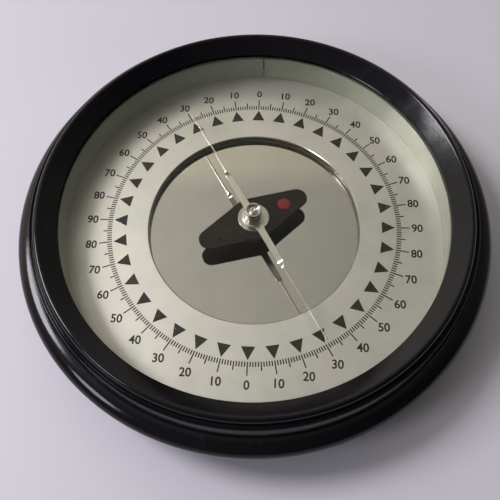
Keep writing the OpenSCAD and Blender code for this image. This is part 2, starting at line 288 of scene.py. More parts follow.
def turned_nickel():
    finish, tree, shader, place = start_finish("turned_nickel_plate", Metallic=1.0)
    tarnish = noise(tree, place, 1.6, 4)
    tree.links.new(blend_colours(tree, tarnish, "#dcdad3", "#bdb9ac"), shader.inputs["Base Color"])
    tree.links.new(spread(tree, tarnish, 0.3, 0.75, 0.05, 0.13), shader.inputs["Roughness"])
    rings = add(tree, "ShaderNodeMath", {"operation": "SINE"}, {
        0: spread(tree, radius_of(tree, place), 0.0, 0.12 * MM, 0.0, math.tau)})
    relief(tree, shader, rings.outputs[0], 0.002)
    return finish


def drawn_strip():
    finish, tree, shader, place = start_finish("drawn_aluminium_strip", Metallic=1.0)
    turned = add(tree, "ShaderNodeMapping", None, {"Vector": place, "Rotation": (0, 0, math.radians(60))})
    lines = noise(tree, turned.outputs[0], 0.5, 3, (0.05, 1, 1))
    tree.links.new(blend_colours(tree, lines, "#e4e3dc", "#cfcdc3"), shader.inputs["Base Color"])
    tree.links.new(spread(tree, lines, 0.3, 0.7, 0.16, 0.28), shader.inputs["Roughness"])
    relief(tree, shader, lines, 0.003)
    return finish


def red_enamel():
    finish, tree, shader, place = start_finish("red_enamel_drop", IOR=1.5, Specular_IOR_Level=0.3)
    brushed = noise(tree, place, 1.4, 3)
    tree.links.new(blend_colours(tree, brushed, "#510d16", "#66151f"), shader.inputs["Base Color"])
    tree.links.new(spread(tree, brushed, 0.3, 0.7, 0.25, 0.4), shader.inputs["Roughness"])
    relief(tree, shader, brushed, 0.02)
    return finish


MAGNET_FINISH = japanned_steel()
NICKEL_FINISH = turned_nickel()
STRIP_FINISH = drawn_strip()
RED_FINISH = red_enamel()
print(MAGNET_FINISH.name, NICKEL_FINISH.name, STRIP_FINISH.name, RED_FINISH.name)


# %% [markdown]
# ## The inner and under pieces
# Brass, steel, stone, fibre board, felt and rubber are each one noise pattern with their
# own colours, grain and relief, so one function makes them all from their real values.

# %% Small finishes
def plain_finish(name, first, second, grain_mm, rough, depth_mm, stretch=(1, 1, 1), **fixed):
    finish, tree, shader, place = start_finish(name, **fixed)
    grain = noise(tree, place, grain_mm, 4, stretch)
    tree.links.new(blend_colours(tree, grain, first, second), shader.inputs["Base Color"])
    tree.links.new(spread(tree, grain, 0.3, 0.7, rough, rough + 0.15), shader.inputs["Roughness"])
    relief(tree, shader, grain, depth_mm)
    return finish


# Turned brass, gone a little brown
BRASS = plain_finish("turned_brass", "#b8954d", "#c9ab66", 1.5, 0.24, 0.004, (1, 1, 8), Metallic=1.0)
# Ground steel pin
STEEL = plain_finish("ground_steel", "#a9adb2", "#c4c7ca", 0.6, 0.16, 0.002, (1, 1, 6), Metallic=1.0)
# Polished agate, banded
AGATE = plain_finish("polished_agate", "#6d2a22", "#93483a", 0.5, 0.06, 0.001, (1, 1, 4), IOR=1.54)
# Pressed fibre board, with its felted fibres
FIBRE = plain_finish("pressed_fibre_board", "#2b2523", "#40372f", 0.7, 0.62, 0.03, (1, 0.25, 1), IOR=1.5)
# Wool felt, soft and fuzzy
FELT = plain_finish("wool_felt", "#38463a", "#4d5a4b", 0.4, 0.85, 0.08, Sheen_Weight=0.5)
# Moulded rubber, dull with talc
RUBBER = plain_finish("moulded_rubber", "#1b1b1b", "#2c2c2b", 1.2, 0.55, 0.01, IOR=1.52)
print("six small finishes")

# %% [markdown]
# ## Printing ink
# The scale is screen printed. Ink lies as a thin film, brown-black, with a few pinholes
# where the mesh was blocked and the metal shows.

# %% Screen ink
def screen_ink():
    finish, tree, shader, place = start_finish("screen_printed_ink", IOR=1.5, Specular_IOR_Level=0.2)
    body = blend_colours(tree, noise(tree, place, 3, 3), "#15140f", "#1f1d17")
    holes = spread(tree, noise(tree, place, 0.6, 1), 0.76, 0.8, 0.0, 0.8)
    tree.links.new(blend_colours(tree, holes, body, "#b9b5a8"), shader.inputs["Base Color"])
    tree.links.new(spread(tree, holes, 0.0, 1.0, 0.5, 0.4), shader.inputs["Roughness"])
    return finish


INK = screen_ink()
print(INK.name)

# %% [markdown]
# ## Turning on a lathe
# Most pieces are round, as if turned. The lathe here takes a closed outline of radius and
# height and sweeps it about the Z axis. Blender's own Spin would do it too; writing the
# rings directly keeps the seam closed and lets a strip with a gap use the same code.

# %% Outline corners with true fillets
def rounded(corners, segments=6):
    """Points of a closed outline whose corners (radius, height, fillet) are round."""
    points = []
    for i, (r, z, fillet) in enumerate(corners):
        here = Vector((r, z))
        if fillet == 0:
            points.append((r, z))
            continue
        back = (Vector(corners[i - 1][:2]) - here).normalized()
        ahead = (Vector(corners[(i + 1) % len(corners)][:2]) - here).normalized()
        half = back.angle(ahead) / 2
        centre = here + (back + ahead).normalized() * (fillet / math.sin(half))
        first = here + back * (fillet / math.tan(half)) - centre
        last = here + ahead * (fillet / math.tan(half)) - centre
        start = math.atan2(first.y, first.x)
        turn = (math.atan2(last.y, last.x) - start + math.pi) % math.tau - math.pi
        for k in range(segments + 1):
            angle = start + turn * k / segments
            points.append((centre.x + fillet * math.cos(angle), centre.y + fillet * math.sin(angle)))
    return points


def ellipse_arc(centre_r, centre_z, wide, high, start, end, count):
    """Points of an elliptical arc, as sharp corners for an outline."""
    angles = [math.radians(start + (end - start) * k / count) for k in range(count + 1)]
    return [(centre_r + wide * math.cos(a), centre_z + high * math.sin(a), 0) for a in angles]


print("a rounded square has", len(rounded([(1, 0, 0.2), (2, 0, 0.2), (2, 1, 0.2), (1, 1, 0.2)])), "points")


# %% Keep a finished mesh as a piece
CREASE = math.radians(32)


def keep(name, shell, finish):
    """Turn a bmesh into an object with smooth shading and sharp creases."""
    bmesh.ops.remove_doubles(shell, verts=shell.verts, dist=1e-7)
    bmesh.ops.recalc_face_normals(shell, faces=shell.faces)
    mesh = bpy.data.meshes.new(name)
    shell.to_mesh(mesh)
    shell.free()
    mesh.shade_smooth()
    mesh.set_sharp_from_angle(angle=CREASE)
    mesh.materials.append(finish)
    piece = bpy.data.objects.new(name, mesh)
    bpy.context.scene.collection.objects.link(piece)
    weighted = piece.modifiers.new("weighted", "WEIGHTED_NORMAL")
    weighted.keep_sharp = True
    return piece


def lathe(name, outline, finish, steps=256, start=0.0, sweep=360.0):
    """Sweep a closed outline of (radius, height) in mm about the Z axis."""
    whole = sweep == 360.0
    rings = []
    shell = bmesh.new()
    for i in range(steps if whole else steps + 1):
        angle = math.radians(start + sweep * i / steps)
        across, along = math.cos(angle) * MM, math.sin(angle) * MM
        rings.append([shell.verts.new((r * across, r * along, z * MM)) for r, z in outline])
    for i in range(steps):
        ring, following = rings[i], rings[(i + 1) % len(rings)]
        for k in range(len(outline)):
            after = (k + 1) % len(outline)
            if outline[k][0] == 0 and outline[after][0] == 0:
                continue
            shell.faces.new((ring[k], ring[after], following[after], following[k]))
    if not whole:
        shell.faces.new(rings[0])
        shell.faces.new(rings[-1])
    return keep(name, shell, finish)


print("lathe ready")

# %% [markdown]
# ## The case
# One moulding: a foot rim, a side that leans out to the widest edge, a rounded shoulder
# above it, and inside a bore for the bezel, a ledge for the dial and a well for the mirror.
# Each corner has the fillet that a mould needs.

# %% Moulded case
FIT = 0.2
BORE_R = radius("dial_ring") + FIT
WELL_R = radius("mirror_disc") + FIT
PLATE_R = radius("base_plate")
PLATE_TOP = top("base_plate")
FLOOR_LOW = top("pivot_washer")
RECESS_R = PLATE_R + FIT
FOOT_R = PLATE_R + 2.6
EDGE_Z = 14.4
EDGE_BAND = 0.8
SHOULDER_DROP = 0.6
SHOULDER_END = 88
STUD_R = 1.5
POCKET_IN = WELL_R + 3
POCKET_OUT = BORE_R - 5
POCKET_TOP = low("dial_ring") - 2.4
NUT_SPACE_R = POCKET_IN - 2

skirt_z = EDGE_Z + EDGE_BAND
shoulder_high = SHOULDER_Z - SHOULDER_DROP - skirt_z
case_corners = [(RECESS_R, 0, 0.25), (FOOT_R, 0, 0.6), (EDGE_R, EDGE_Z, 0.3)]
case_corners += ellipse_arc(SHOULDER_R, skirt_z, EDGE_R - SHOULDER_R, shoulder_high, 0, SHOULDER_END, 14)
case_corners += [(SHOULDER_R - 0.4, SHOULDER_Z, 0), (BORE_R, SHOULDER_Z, 0.2),
                 (BORE_R, low("dial_ring"), 0), (WELL_R, low("dial_ring"), 0.15),
                 (WELL_R, low("mirror_felt"), 0), (STUD_R, low("mirror_felt"), 0),
                 (STUD_R, FLOOR_LOW, 0), (NUT_SPACE_R, FLOOR_LOW, 0.3),
                 (NUT_SPACE_R, PLATE_TOP, 0.1), (POCKET_IN, PLATE_TOP, 0.1), (POCKET_IN, POCKET_TOP, 0.6),
                 (POCKET_OUT, POCKET_TOP, 0.6), (POCKET_OUT, PLATE_TOP, 0.1), (RECESS_R, PLATE_TOP, 0)]
case = lathe("moulded_case", rounded(case_corners), CASE_BLACK)
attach(case, "case")
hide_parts("case_body")
print("case", len(case.data.vertices), "vertices")

# %% [markdown]
# ## The bezel
# A second moulding screws into the bore. From the outside in it has a short upright band,
# a groove for the finger tips, a rounded crest, and a cone that falls to a thin lip on the
# glass. Below, its spigot carries the thread. A lathe makes only plain rings, so the
# spigot gets a column of extra points, and then each one is moved in by a wave that
# climbs as it goes round. Two waves side by side make a thread with two starts.

# %% Moulded bezel
SPIGOT_T = 1.7
SPIGOT_IN = radius("cover_glass") + FIT
SPIGOT_OUT = SPIGOT_IN + SPIGOT_T
SEAT_Z = SHOULDER_Z + FIT
BAND_HIGH = 1.6
CREST_R = 64.2
CREST_WIDE, CREST_HIGH, CREST_END = 1.2, 1.5, 130
GROOVE_R = CREST_R + 1.9
GROOVE_Z = CREST_Z - 2.3
LIP_T = 0.5
THREAD_PITCH = 1.5
THREAD_STARTS = 2
THREAD_DEPTH = 0.4
THREAD_STEP = 0.2
THREAD_FADE = 0.6
THREAD_LOW, THREAD_HIGH = low("bezel_ring") + 0.6, SEAT_Z - 0.6

thread_rows = round((THREAD_HIGH - THREAD_LOW) / THREAD_STEP)
bezel_corners = [(SPIGOT_IN, low("bezel_ring"), 0.2), (SPIGOT_OUT, low("bezel_ring"), 0.3),
                 *[(SPIGOT_OUT, THREAD_LOW + THREAD_STEP * k, 0) for k in range(thread_rows)],
                 (SPIGOT_OUT, SEAT_Z, 0), (SHOULDER_R, SEAT_Z, 0.5),
                 (SHOULDER_R - 0.1, SEAT_Z + BAND_HIGH, 0.3),
                 (SHOULDER_R - 0.9, GROOVE_Z + 0.2, 0.25), (GROOVE_R, GROOVE_Z - 0.3, 0.12),
                 (GROOVE_R - 0.5, GROOVE_Z + 0.1, 0)]
bezel_corners += ellipse_arc(CREST_R, CREST_Z - CREST_HIGH, CREST_WIDE, CREST_HIGH, 0, CREST_END, 18)
bezel_corners += [(VIEW_R + 0.3, LIP_Z + LIP_T, 0), (VIEW_R, LIP_Z + LIP_T - 0.3, 0.1),
                  (VIEW_R, LIP_Z, 0.1), (SPIGOT_IN, LIP_Z, 0)]
bezel = lathe("screwed_bezel", rounded(bezel_corners), BEZEL_BLACK)
for vertex in bezel.data.vertices:
    here_r, here_z = math.hypot(vertex.co.x, vertex.co.y) / MM, vertex.co.z / MM
    fade = min(1.0, (here_z - THREAD_LOW) / THREAD_FADE, (THREAD_HIGH - here_z) / THREAD_FADE)
    if abs(here_r - SPIGOT_OUT) < 0.01 and fade > 0:
        turns = math.atan2(vertex.co.y, vertex.co.x) / math.tau
        wave = 0.5 + 0.5 * math.cos(math.tau * (here_z / THREAD_PITCH - THREAD_STARTS * turns))
        vertex.co.xy *= 1 - THREAD_DEPTH * fade * wave / here_r
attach(bezel, "bezel")
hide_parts("bezel_ring")
print("bezel", len(bezel.data.vertices), "vertices")

# %% [markdown]
# ## Glass, liner, dial and mirror
# The glass has ground edges. The liner is a strip bent into a ring, so it is swept almost
# all the way round and its two ends leave a thin butt seam beside the zero. The dial has a
# bright bevel at its hole, and its reflection in the mirror makes a double edge there.

# %% Glass and liner
GROUND = 0.25
glass_r = radius("cover_glass")
glass_corners = [(0, GLASS_LOW, 0), (glass_r, GLASS_LOW, GROUND), (glass_r, top("cover_glass"), GROUND),
                 (0, top("cover_glass"), 0)]
glass = lathe("cover_pane", rounded(glass_corners, 2), GLASS_FINISH, 192)
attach(glass, "glazing")
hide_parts("cover_glass")

SEAM_AT = 90 - 1.2
SEAM_GAP = 0.35
seam_turn = math.degrees(SEAM_GAP / VIEW_R)
liner_corners = [(VIEW_R, DIAL_TOP, 0.1), (VIEW_R + LINER_T, DIAL_TOP, 0.1),
                 (VIEW_R + LINER_T, top("wall_liner"), 0.1), (VIEW_R, top("wall_liner"), 0.1)]
liner = lathe("rolled_liner", rounded(liner_corners, 3), LINER_FINISH, 256, SEAM_AT + seam_turn / 2,
              360 - seam_turn)
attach(liner, "case")
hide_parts("wall_liner")
print("glass", round(glass_r, 1), "liner", round(VIEW_R, 1))

# %% Dial and mirror
BEVEL = 0.3
dial_corners = [(DIAL_HOLE_R, low("dial_ring"), 0.05), (radius("dial_ring"), low("dial_ring"), 0),
                (radius("dial_ring"), DIAL_TOP, 0.1), (DIAL_HOLE_R + BEVEL, DIAL_TOP, 0),
                (DIAL_HOLE_R, DIAL_TOP - BEVEL, 0)]
dial = lathe("dial_plate", rounded(dial_corners, 3), DIAL_FINISH)
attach(dial, "case")
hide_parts("dial_ring")

mirror_hole = 3.2
mirror_corners = [(mirror_hole, low("mirror_disc"), 0), (radius("mirror_disc"), low("mirror_disc"), 0),
                  (radius("mirror_disc"), top("mirror_disc"), 0.15),
                  (mirror_hole, top("mirror_disc"), 0.15)]
mirror = lathe("mirror_plate", rounded(mirror_corners, 3), MIRROR_FINISH)
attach(mirror, "case")
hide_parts("mirror_disc")
print("dial and mirror in place")

# %% [markdown]
# ## Geometry Nodes for what repeats
# Degree marks, triangles and ribs repeat round the axis. One tree places points on a
# circle by their index, puts a shape on each, makes the copies real and gives them a
# material. The tree's inputs carry the sizes, so nothing is fixed inside it.

# %% Helpers for node trees
def start_tree(name, inputs):
    """A Geometry Nodes tree with named inputs of the given socket kinds."""
    tree = bpy.data.node_groups.new(name, "GeometryNodeTree")
    for title, kind in inputs.items():
        tree.interface.new_socket(title, in_out="INPUT", socket_type=kind)
    tree.interface.new_socket("Geometry", in_out="OUTPUT", socket_type="NodeSocketGeometry")
    return tree, add(tree, "NodeGroupInput").outputs


def sum_up(tree, operation, *values):
    """One Math node."""
    return add(tree, "ShaderNodeMath", {"operation": operation}, dict(enumerate(values))).outputs[0]


def ring_points(tree, count, start, at_radius, height):
    """Points on a circle, and the turn that makes a copy on each one face outward."""
    line = add(tree, "GeometryNodeMeshLine", None, {"Count": count, "Offset": (0, 0, 0)})
    index = add(tree, "GeometryNodeInputIndex").outputs[0]
    step = sum_up(tree, "DIVIDE", math.tau, count)
    angle = sum_up(tree, "ADD", sum_up(tree, "MULTIPLY", index, step), start)
    x = sum_up(tree, "MULTIPLY", sum_up(tree, "COSINE", angle), at_radius)
    y = sum_up(tree, "MULTIPLY", sum_up(tree, "SINE", angle), at_radius)
    spot = add(tree, "ShaderNodeCombineXYZ", None, {0: x, 1: y, 2: height})
    inputs = {"Geometry": line.outputs[0], "Position": spot.outputs[0]}
    placed = add(tree, "GeometryNodeSetPosition", None, inputs)
    return placed.outputs[0], add(tree, "ShaderNodeCombineXYZ", None, {2: angle}).outputs[0]


def finish_tree(tree, copies, finish):
    """Realize the instances, set the material and end the tree."""
    real = add(tree, "GeometryNodeRealizeInstances", None, {0: copies})
    painted = add(tree, "GeometryNodeSetMaterial", None, {"Geometry": real.outputs[0], "Material": finish})
    add(tree, "NodeGroupOutput", None, {0: painted.outputs[0]})


def grow(name, tree, sizes):
    """Run a tree on an empty mesh and keep its result as a plain mesh."""
    piece = bpy.data.objects.new(name, bpy.data.meshes.new(name))
    bpy.context.scene.collection.objects.link(piece)
    modifier = piece.modifiers.new("grow", "NODES")
    modifier.node_group = tree
    for item in tree.interface.items_tree:
        if item.in_out == "INPUT":
            modifier[item.identifier] = sizes[item.name]
    view = bpy.context.evaluated_depsgraph_get()
    grown = bpy.data.meshes.new_from_object(piece.evaluated_get(view))
    piece.modifiers.remove(modifier)
    piece.data = grown
    print(name, len(grown.vertices), "vertices")
    return piece


# %% [markdown]
# ## The degree scale
# Every degree has a tick that starts on one circle. Ticks at 5 and 10 degrees are longer,
# so the tree picks a length from the index. Ink is a film a few hundredths of a
# millimetre thick, just above the plate.

# %% Ticks
SCALE_R = 45.0
INK_Z = DIAL_TOP + 0.01
INK_T = 0.02
TICK_SHORT, TICK_MIDDLE, TICK_LONG, TICK_WIDTH = 1.5, 2.7, 4.1, 0.38
LENGTH = "NodeSocketFloat"

tick_tree, given = start_tree("degree_ticks", {
    "Count": "NodeSocketInt", "Inner Radius": LENGTH, "Short": LENGTH, "Middle": LENGTH, "Long": LENGTH,
    "Width": LENGTH, "Thickness": LENGTH, "Height": LENGTH, "Ink": "NodeSocketMaterial"})
counter = add(tick_tree, "GeometryNodeInputIndex").outputs[0]


def every(tree, index, step):
    """One where the index is a multiple of step, else zero."""
    return sum_up(tree, "COMPARE", sum_up(tree, "MODULO", index, step), 0.0, 0.1)


fives = sum_up(tick_tree, "MULTIPLY", every(tick_tree, counter, 5), sum_up(
    tick_tree, "SUBTRACT", given["Middle"], given["Short"]))
tens = sum_up(tick_tree, "MULTIPLY", every(tick_tree, counter, 10), sum_up(
    tick_tree, "SUBTRACT", given["Long"], given["Middle"]))
tick_length = sum_up(tick_tree, "ADD", sum_up(tick_tree, "ADD", fives, tens), given["Short"])
half_tick = sum_up(tick_tree, "MULTIPLY", tick_length, 0.5)
tick_middle = sum_up(tick_tree, "ADD", given["Inner Radius"], half_tick)
spots, facing = ring_points(tick_tree, given["Count"], 0.0, tick_middle, given["Height"])
tick_size = add(tick_tree, "ShaderNodeCombineXYZ", None, {
    0: tick_length, 1: given["Width"], 2: given["Thickness"]})
ticks_set = add(tick_tree, "GeometryNodeInstanceOnPoints", None, {
    "Points": spots, "Instance": add(tick_tree, "GeometryNodeMeshCube").outputs[0],
    "Rotation": facing, "Scale": tick_size.outputs[0]})
finish_tree(tick_tree, ticks_set.outputs[0], given["Ink"])

ticks = grow("degree_ticks", tick_tree, {
    "Count": 360, "Inner Radius": SCALE_R * MM, "Short": TICK_SHORT * MM, "Middle": TICK_MIDDLE * MM,
    "Long": TICK_LONG * MM, "Width": TICK_WIDTH * MM, "Thickness": INK_T * MM,
    "Height": (INK_Z + INK_T / 2) * MM, "Ink": INK})
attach(ticks, "case")

# %% [markdown]
# ## The triangles
# Inside the ticks, each ten degrees has a solid triangle that points outward. A cylinder
# with three sides is a triangle already; its first corner lies along +X, which is the way
# each copy faces.

# %% Triangles
TRI_APEX_R = 0.99 * SCALE_R
TRI_BASE_R = 0.898 * SCALE_R
TRI_WIDTH = 4.2

tri_tree, given = start_tree("ten_degree_triangles", {
    "Count": "NodeSocketInt", "Apex Radius": LENGTH, "Length": LENGTH, "Width": LENGTH,
    "Thickness": LENGTH, "Height": LENGTH, "Ink": "NodeSocketMaterial"})
apex_to_centre = sum_up(tri_tree, "MULTIPLY", given["Length"], 2 / 3)
centre_r = sum_up(tri_tree, "SUBTRACT", given["Apex Radius"], apex_to_centre)
spots, facing = ring_points(tri_tree, given["Count"], 0.0, centre_r, given["Height"])
prism = add(tri_tree, "GeometryNodeMeshCylinder", None, {"Vertices": 3, "Radius": 1.0, "Depth": 1.0})
prism_size = add(tri_tree, "ShaderNodeCombineXYZ", None, {
    0: sum_up(tri_tree, "DIVIDE", given["Length"], 1.5),
    1: sum_up(tri_tree, "DIVIDE", given["Width"], math.sqrt(3)),
    2: given["Thickness"]})
tri_set = add(tri_tree, "GeometryNodeInstanceOnPoints", None, {
    "Points": spots, "Instance": prism.outputs[0], "Rotation": facing, "Scale": prism_size.outputs[0]})
finish_tree(tri_tree, tri_set.outputs[0], given["Ink"])

triangles = grow("ten_degree_triangles", tri_tree, {
    "Count": 36, "Apex Radius": TRI_APEX_R * MM, "Length": (TRI_APEX_R - TRI_BASE_R) * MM,
    "Width": TRI_WIDTH * MM, "Thickness": INK_T * MM, "Height": (INK_Z + INK_T / 2) * MM, "Ink": INK})
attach(triangles, "case")

# %% [markdown]
# ## The figures
# Figures count from the zero at the top and at the bottom to 90 at the sides, and all of
# them stand upright. Each is a text object, made a mesh and then moved to its place, and
# all of them are joined into one piece.

# %% Figures
FIGURE_HIGH = 2.7
FIGURE_SQUEEZE = 0.96
# Share of the font's size that a figure is high
CAP_SHARE = 0.73
FIGURE_BOLD = 0.085


def figure_mesh(text):
    """The mesh of one number, centred, with its real height, in metres."""
    lettering = bpy.data.curves.new("figure", "FONT")
    lettering.body = text
    lettering.align_x = "CENTER"
    lettering.align_y = "CENTER"
    lettering.size = FIGURE_HIGH / CAP_SHARE * MM
    lettering.resolution_u = 4
    lettering.offset = FIGURE_BOLD * MM
    lettering.extrude = INK_T / 2 * MM
    writer = bpy.data.objects.new("figure", lettering)
    bpy.context.scene.collection.objects.link(writer)
    view = bpy.context.evaluated_depsgraph_get()
    mesh = bpy.data.meshes.new_from_object(writer.evaluated_get(view))
    bpy.data.objects.remove(writer)
    return mesh


def figure_radius(turn):
    """Figures stand a little further out at the top and the bottom than at the sides."""
    return SCALE_R * (1.144 + 0.006 * math.cos(turn) ** 2)


sheet = bmesh.new()
for step in range(36):
    turn = math.tau * step / 36
    count = min(step % 18, 18 - step % 18) * 10
    mesh = figure_mesh(str(count))
    high = [v.co.y for v in mesh.vertices]
    out = figure_radius(turn)
    place = Vector((math.sin(turn) * out * MM, math.cos(turn) * out * MM, (INK_Z + INK_T / 2) * MM))
    drop = Vector((0, (max(high) + min(high)) / 2, 0))
    squeeze = Matrix.Diagonal((FIGURE_SQUEEZE, 1, 1, 1))
    mesh.transform(Matrix.Translation(place) @ squeeze @ Matrix.Translation(-drop))
    sheet.from_mesh(mesh)
    bpy.data.meshes.remove(mesh)
figures = keep("dial_figures", sheet, INK)
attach(figures, "case")
print("figures", len(figures.data.vertices), "vertices")

# %% [markdown]
# ## The needle
# The magnet is stamped from sheet, so it starts as a flat curve: the outline of a lozenge
# with round ends and a hole. The curve's own extrude and bevel give it its thickness and
# broken edges, and it is made a mesh before it is turned to its place.

# %% Magnet
MAGNET_LOW = low("magnet")
MAGNET_T = top("magnet") - MAGNET_LOW
NEEDLE_TURN = math.radians(30)
MAGNET_HALF = 18.7
MAGNET_WIDE = 7.6
MAGNET_END_R = 3.3
TAIL_R = 1.9
EDGE_BREAK = 0.18


def arc_points(x, y, r, start, end, count):
    """Points of a circular arc, in radians."""
    angles = [start + (end - start) * k / count for k in range(count + 1)]
    return [(x + r * math.cos(a), y + r * math.sin(a)) for a in angles]


def flat_piece(name, outlines, low_mm, thick, edge, finish, turn):
    """A flat plate with broken edges from closed outlines; the second one is a hole."""
    plate = bpy.data.curves.new(name, "CURVE")
    plate.dimensions = "2D"
    plate.fill_mode = "BOTH"
    plate.extrude = (thick / 2 - edge) * MM
    plate.bevel_depth = edge * MM
    plate.bevel_resolution = 2
    plate.offset = -edge * MM
    for points in outlines:
        spline = plate.splines.new("POLY")
        spline.points.add(len(points) - 1)
        for knot, (x, y) in zip(spline.points, points):
            knot.co = (x * MM, y * MM, 0, 1)
        spline.use_cyclic_u = True
    maker = bpy.data.objects.new(name, plate)
    bpy.context.scene.collection.objects.link(maker)
    view = bpy.context.evaluated_depsgraph_get()
    mesh = bpy.data.meshes.new_from_object(maker.evaluated_get(view))
    bpy.data.objects.remove(maker)
    mesh.transform(Matrix.Translation((0, 0, (low_mm + thick / 2) * MM)) @ Matrix.Rotation(turn, 4, "Z"))
    shell = bmesh.new()
    shell.from_mesh(mesh)
    bpy.data.meshes.remove(mesh)
    return keep(name, shell, finish)


end_x = MAGNET_HALF - MAGNET_END_R
meet = math.atan2(end_x, MAGNET_WIDE) + math.asin(MAGNET_END_R / math.hypot(end_x, MAGNET_WIDE))
lozenge = arc_points(end_x, 0, MAGNET_END_R, -meet, meet, 20)
lozenge += [(0.0, MAGNET_WIDE)]
lozenge += arc_points(-end_x, 0, MAGNET_END_R, math.pi - meet, math.pi + meet, 20)
lozenge += [(0.0, -MAGNET_WIDE)]
tail_hole = arc_points(0, 0, TAIL_R, 0, math.tau * 47 / 48, 47)
magnet = flat_piece("lozenge_magnet", [lozenge, tail_hole], MAGNET_LOW, MAGNET_T, EDGE_BREAK,
                    MAGNET_FINISH, NEEDLE_TURN)
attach(magnet, "needle")
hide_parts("magnet")
print("magnet", len(magnet.data.vertices), "vertices")

# %% [markdown]
# ## The red mark
# A drop of enamel settles as a low dome with a slightly uneven rim. It is a polar grid
# whose rim radius wavers by a few percent.

# %% Red enamel mark
MARK_AT = 10.8
MARK_R = (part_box("north_mark")[1].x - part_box("north_mark")[0].x) / MM / 2
MARK_Z = low("north_mark")
MARK_T = top("north_mark") - MARK_Z
RIM_STEPS = 48


def mark_rim(angle):
    return MARK_R * (0.95 + 0.025 * math.sin(2 * angle + 1.0) + 0.02 * math.sin(5 * angle))


drop = bmesh.new()
centre = Vector((math.cos(NEEDLE_TURN), math.sin(NEEDLE_TURN), 0)) * MARK_AT * MM
layers = [(1.0, 0.0), (1.0, 0.25), (0.93, 0.6), (0.8, 0.85), (0.5, 1.0), (0.0, 1.0)]
grid = []
for share, height in layers:
    ring = []
    for k in range(RIM_STEPS):
        angle = math.tau * k / RIM_STEPS
        arm = Vector((math.cos(angle), math.sin(angle), 0)) * mark_rim(angle) * share * MM
        ring.append(drop.verts.new(centre + arm + Vector((0, 0, (MARK_Z + MARK_T * height) * MM))))
    grid.append(ring)
for lower, upper in zip(grid, grid[1:]):
    for k in range(RIM_STEPS):
        after = (k + 1) % RIM_STEPS
        drop.faces.new((lower[k], lower[after], upper[after], upper[k]))
drop.faces.new(list(reversed(grid[0])))
mark = keep("red_mark", drop, RED_FINISH)
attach(mark, "needle")
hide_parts("north_mark")
print("mark", len(mark.data.vertices), "vertices")

# %% [markdown]
# ## The pointer
# Each arm is one strip: flat beside the hub, turned a quarter in a short twist, and then a
# blade on edge, so that a reader sees a thin line over the scale. A loft does this: a
# small chamfered section is placed along the arm, with its width and turn worked out from
# the distance.

# %% Pointer sections
STRIP_T = 0.4
STRIP_W = 2.4
BLADE_W = 1.9
TIP_W = 0.6
EYE_R = 3.5
TWIST_AT = 16.2
TWIST_LEN = 3.6
POINTER_HALF = 45.0
POINTER_Z = top("hub_disc") + STRIP_T / 2


def strip_width(x):
    """Width of the strip at a distance from the pivot."""
    if x < TWIST_AT + TWIST_LEN:
        share = max(0.0, min(1.0, (x - EYE_R) / (TWIST_AT - EYE_R)))
        return STRIP_W + (BLADE_W - STRIP_W) * share
    share = (x - TWIST_AT - TWIST_LEN) / (POINTER_HALF - TWIST_AT - TWIST_LEN)
    return BLADE_W + (TIP_W - BLADE_W) * share


def strip_turn(x):
    """Turn of the strip about its own length: a smooth quarter over the twist."""
    share = max(0.0, min(1.0, (x - TWIST_AT) / TWIST_LEN))
    return math.pi / 2 * share * share * (3 - 2 * share)


def strip_section(x):
    """Eight corners of the strip at x, with its long edges broken."""
    w, t = strip_width(x) / 2, STRIP_T / 2
    c = 0.08
    upper = [(w, t - c), (w - c, t), (c - w, t), (-w, t - c)]
    corners = upper + [(a, -b) for a, b in reversed(upper)]
    turn = strip_turn(x)
    cos, sin = math.cos(turn), math.sin(turn)
    return [Vector((x, a * cos - b * sin, a * sin + b * cos + POINTER_Z)) * MM for a, b in corners]


def add_arm(shell, turn):
    """Loft one arm into the shell, turned about the pivot."""
    stations = [2.6, 6, 10, 14]
    stations += [TWIST_AT + TWIST_LEN * k / 24 for k in range(25)]
    stations += [22 + (POINTER_HALF - 22) * k / 8 for k in range(9)]
    spin = Matrix.Rotation(turn, 4, "Z")
    rows = [[shell.verts.new(spin @ p) for p in strip_section(x)] for x in stations]
    for near, far in zip(rows, rows[1:]):
        for k in range(8):
            after = (k + 1) % 8
            shell.faces.new((near[k], near[after], far[after], far[k]))
    shell.faces.new(rows[0])
    shell.faces.new(list(reversed(rows[-1])))


# %% Pointer
strip = bmesh.new()
for side in (1, -1):
    add_arm(strip, NEEDLE_TURN + side * math.pi / 2)
eye_low, eye_high = POINTER_Z - STRIP_T / 2, POINTER_Z + STRIP_T / 2
eye = lathe("eye", rounded([(TAIL_R, eye_low, 0), (EYE_R, eye_low, 0.06), (EYE_R, eye_high, 0.06),
                            (TAIL_R, eye_high, 0)], 2), STRIP_FINISH, 64)
strip.from_mesh(eye.data)
bpy.data.objects.remove(eye)
pointer = keep("twisted_pointer", strip, STRIP_FINISH)
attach(pointer, "needle")
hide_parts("pointer")
print("pointer", len(pointer.data.vertices), "vertices")

# %% [markdown]
# ## The hub and its disc
# The hub is turned from bar: two stepped rings over the pointer, a waist, and a dished
# head with a dimpled boss in it. Each edge is broken, because a sharp one would never
# catch the light the way a real one does.

